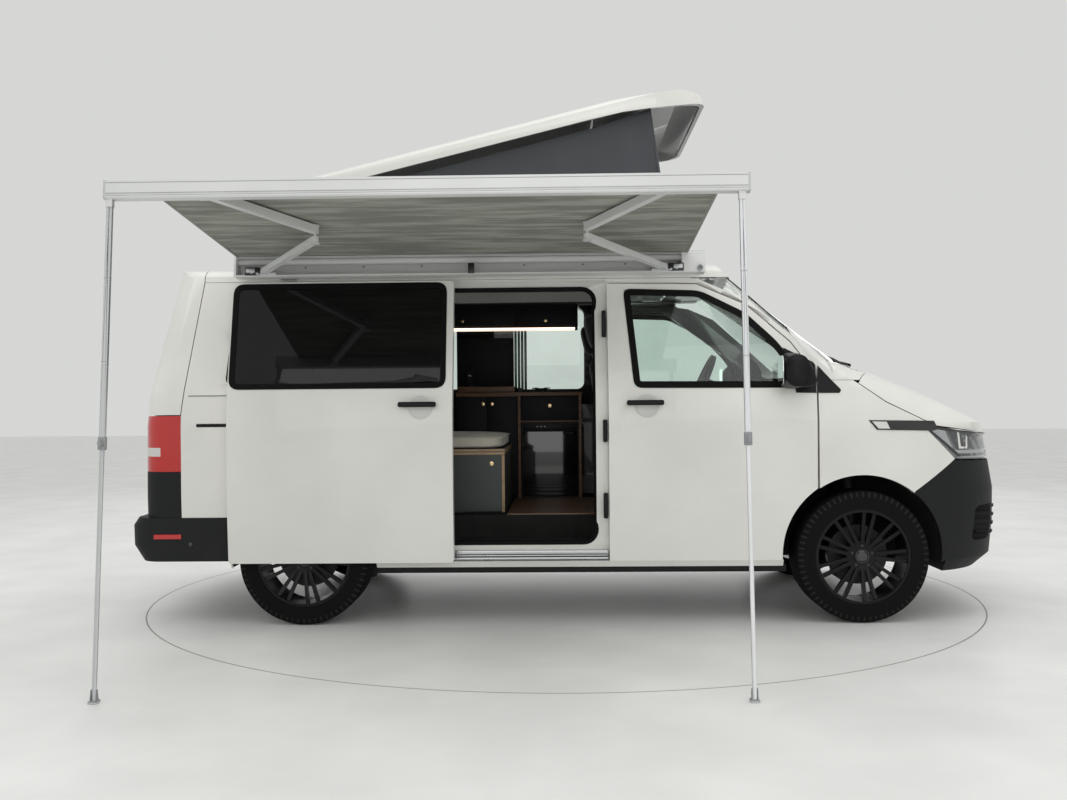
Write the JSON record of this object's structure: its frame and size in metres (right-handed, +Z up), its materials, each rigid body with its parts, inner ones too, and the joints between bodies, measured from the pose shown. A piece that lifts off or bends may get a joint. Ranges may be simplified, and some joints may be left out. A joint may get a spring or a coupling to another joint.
{
  "type": "camper van",
  "caption": "Short-wheelbase camper van with a raised pop-top roof, an open sliding door, kitchen and bench inside, and a roof-mounted folding-arm awning on legs.",
  "frame": {"origin": "on the road, under the middle of the wheelbase and on the van's centre line", "axes": "+X forward, +Y to the van's left, +Z up; the awning and the open sliding door are on the -Y side"},
  "size_m": [4.894, 3.6211, 2.9268],
  "materials": {
    "body_paint": "gloss",
    "black_plastic": "satin",
    "gloss_black": "gloss",
    "lamp_lens": "clear",
    "lamp_red": "clear",
    "window_glass": "clear",
    "privacy_glass": "tinted",
    "steel": "satin",
    "cast_metal": "rough",
    "tyre_rubber": "matte",
    "wheel_alloy": "satin black",
    "awning_metal": "powder coat",
    "leg_metal": "anodised",
    "awning_cloth": "woven",
    "canvas_cloth": "woven",
    "shell_paint": "gloss",
    "birch_ply": "satin",
    "dark_board": "satin",
    "bench_board": "satin",
    "cushion_cloth": "woven",
    "seat_cloth": "woven",
    "dash_plastic": "grained"
  },
  "bodies": {
    "body": {"chassis": "steel", "body_side_right": "body_paint", "body_side_left": "body_paint", "roof_panel": "body_paint", "front_wings": "body_paint", "front_bumper": "black_plastic", "grille": "black_plastic", "headlamps": "lamp_lens", "tail_lamps": "lamp_red", "rear_bumper": "black_plastic", "sliding_door": "body_paint", "side_glass": "privacy_glass", "windscreen": "window_glass", "arch_liners": "black_plastic", "rear_axle": "cast_metal", "engine_block": "cast_metal", "canvas": "canvas_cloth", "awning_case": "awning_metal", "awning_fabric": "awning_cloth", "kitchen_unit": "dark_board", "overhead_locker": "dark_board", "bench": "bench_board", "bench_cushion": "cushion_cloth", "front_seats": "seat_cloth", "dashboard": "dash_plastic"},
    "door_right": {"front_door_right": "body_paint", "front_door_glass_right": "window_glass", "mirror_right": "gloss_black"},
    "knuckle_right": {"knuckle_right": "cast_metal"},
    "wheel_front_right": {"tyre_front_right": "tyre_rubber", "rim_front_right": "wheel_alloy"},
    "wheel_rear_right": {"tyre_rear_right": "tyre_rubber", "rim_rear_right": "wheel_alloy"},
    "door_left": {"front_door_left": "body_paint", "front_door_glass_left": "window_glass", "mirror_left": "gloss_black"},
    "knuckle_left": {"knuckle_left": "cast_metal"},
    "wheel_front_left": {"tyre_front_left": "tyre_rubber", "rim_front_left": "wheel_alloy"},
    "wheel_rear_left": {"tyre_rear_left": "tyre_rubber", "rim_rear_left": "wheel_alloy"},
    "bonnet": {"bonnet": "body_paint"},
    "tailgate": {"tailgate": "body_paint", "tailgate_glass": "privacy_glass"},
    "lift_arms": {"lift_arms": "steel"},
    "pop_top": {"pop_top_shell": "shell_paint"},
    "upper_arm_rear": {"upper_arm_rear": "awning_metal"},
    "forearm_rear": {"forearm_rear": "awning_metal"},
    "leg_rear": {"leg_rear": "leg_metal"},
    "leg_foot_rear": {"leg_foot_rear": "leg_metal"},
    "upper_arm_front": {"upper_arm_front": "awning_metal"},
    "forearm_front": {"forearm_front": "awning_metal"},
    "leg_front": {"leg_front": "leg_metal"},
    "leg_foot_front": {"leg_foot_front": "leg_metal"},
    "lead_bar": {"lead_bar": "awning_metal"}
  },
  "joints": [
    {"name": "steer_right", "type": "hinge", "parent": "body", "child": "knuckle_right", "pos_m": [1.5, -0.70352, 0.352], "axis": [0, 0.2028, 0.9792], "range_deg": [-35, 35]},
    {"name": "wheel_front_right_spin", "type": "hinge", "parent": "knuckle_right", "child": "wheel_front_right", "pos_m": [1.5, -0.814, 0.352], "axis": [0, 1, 0], "continuous": true},
    {"name": "wheel_rear_right_spin", "type": "hinge", "parent": "body", "child": "wheel_rear_right", "pos_m": [-1.5, -0.814, 0.352], "axis": [0, 1, 0], "continuous": true},
    {"name": "front_door_right_hinge", "type": "hinge", "parent": "body", "child": "door_right", "pos_m": [1.2615, -0.955, 1], "axis": [0, 0, 1], "range_deg": [0, 70]},
    {"name": "steer_left", "type": "hinge", "parent": "body", "child": "knuckle_left", "pos_m": [1.5, 0.70352, 0.352], "axis": [0, -0.2028, 0.9792], "range_deg": [-35, 35]},
    {"name": "wheel_front_left_spin", "type": "hinge", "parent": "knuckle_left", "child": "wheel_front_left", "pos_m": [1.5, 0.814, 0.352], "axis": [0, 1, 0], "continuous": true},
    {"name": "wheel_rear_left_spin", "type": "hinge", "parent": "body", "child": "wheel_rear_left", "pos_m": [-1.5, 0.814, 0.352], "axis": [0, 1, 0], "continuous": true},
    {"name": "front_door_left_hinge", "type": "hinge", "parent": "body", "child": "door_left", "pos_m": [1.2615, 0.955, 1], "axis": [0, 0, -1], "range_deg": [0, 70]},
    {"name": "bonnet_hinge", "type": "hinge", "parent": "body", "child": "bonnet", "pos_m": [1.48, 0, 1.34], "axis": [0, -1, 0], "range_deg": [0, 55]},
    {"name": "tailgate_hinge", "type": "hinge", "parent": "body", "child": "tailgate", "pos_m": [-2.0705, 0, 1.966], "axis": [0, 1, 0], "range_deg": [0, 85]},
    {"name": "pop_top_lift", "type": "hinge", "parent": "body", "child": "lift_arms", "pos_m": [-1.163, 0, 2.05], "axis": [0, 1, 0], "range_deg": [-37.5, 0], "deforming": ["canvas"]},
    {"name": "pop_top_tilt", "type": "hinge", "parent": "lift_arms", "child": "pop_top", "pos_m": [-1.59696, 0, 2.38299], "axis": [0, 1, 0], "range_deg": [0, 51.2]},
    {"name": "awning_shoulder_rear", "type": "hinge", "parent": "body", "child": "upper_arm_rear", "pos_m": [-1.715, -0.905, 1.938], "axis": [0, -0.0924, -0.9957], "range_deg": [-57.7, 0], "deforming": ["awning_fabric"]},
    {"name": "awning_elbow_rear", "type": "hinge", "parent": "upper_arm_rear", "child": "forearm_rear", "pos_m": [-1.27683, -1.59515, 2.00202], "axis": [0, -0.0924, -0.9957], "range_deg": [0, 120.3]},
    {"name": "awning_wrist_rear", "type": "hinge", "parent": "forearm_rear", "child": "lead_bar", "pos_m": [-1.60467, -2.22224, 2.0602], "axis": [0, -0.0924, -0.9957], "range_deg": [-62.6, 0]},
    {"name": "awning_shoulder_front", "type": "hinge", "parent": "body", "child": "upper_arm_front", "pos_m": [0.463, -0.905, 1.938], "axis": [0, -0.0924, -0.9957], "range_deg": [0, 57.8]},
    {"name": "awning_elbow_front", "type": "hinge", "parent": "upper_arm_front", "child": "forearm_front", "pos_m": [0.02483, -1.59515, 2.00202], "axis": [0, -0.0924, -0.9957], "range_deg": [-120.3, 0]},
    {"name": "leg_rear_fold", "type": "hinge", "parent": "lead_bar", "child": "leg_rear", "pos_m": [-1.986, -2.27386, 2.02883], "axis": [0, 0.9957, -0.0924], "range_deg": [-90, 0]},
    {"name": "leg_rear_slide", "type": "slide", "parent": "leg_rear", "child": "leg_foot_rear", "axis": [0, -0.0924, -0.9957], "range_m": [-0.93, 0]},
    {"name": "leg_front_fold", "type": "hinge", "parent": "lead_bar", "child": "leg_front", "pos_m": [0.646, -2.27386, 2.02883], "axis": [0, -0.9957, 0.0924], "range_deg": [-90, 0]},
    {"name": "leg_front_slide", "type": "slide", "parent": "leg_front", "child": "leg_foot_front", "axis": [0, -0.0924, -0.9957], "range_m": [-0.93, 0]}
  ],
  "couplings": [
    {"joint": "steer_left", "follows": "steer_right", "ratio": 1},
    {"joint": "pop_top_tilt", "follows": "pop_top_lift", "ratio": -1.3627},
    {"joint": "awning_elbow_rear", "follows": "awning_shoulder_rear", "ratio": -2.0832},
    {"joint": "awning_wrist_rear", "follows": "awning_shoulder_rear", "ratio": 1.0832},
    {"joint": "awning_shoulder_front", "follows": "awning_shoulder_rear", "ratio": -1},
    {"joint": "awning_elbow_front", "follows": "awning_shoulder_rear", "ratio": 2.0832}
  ]
}
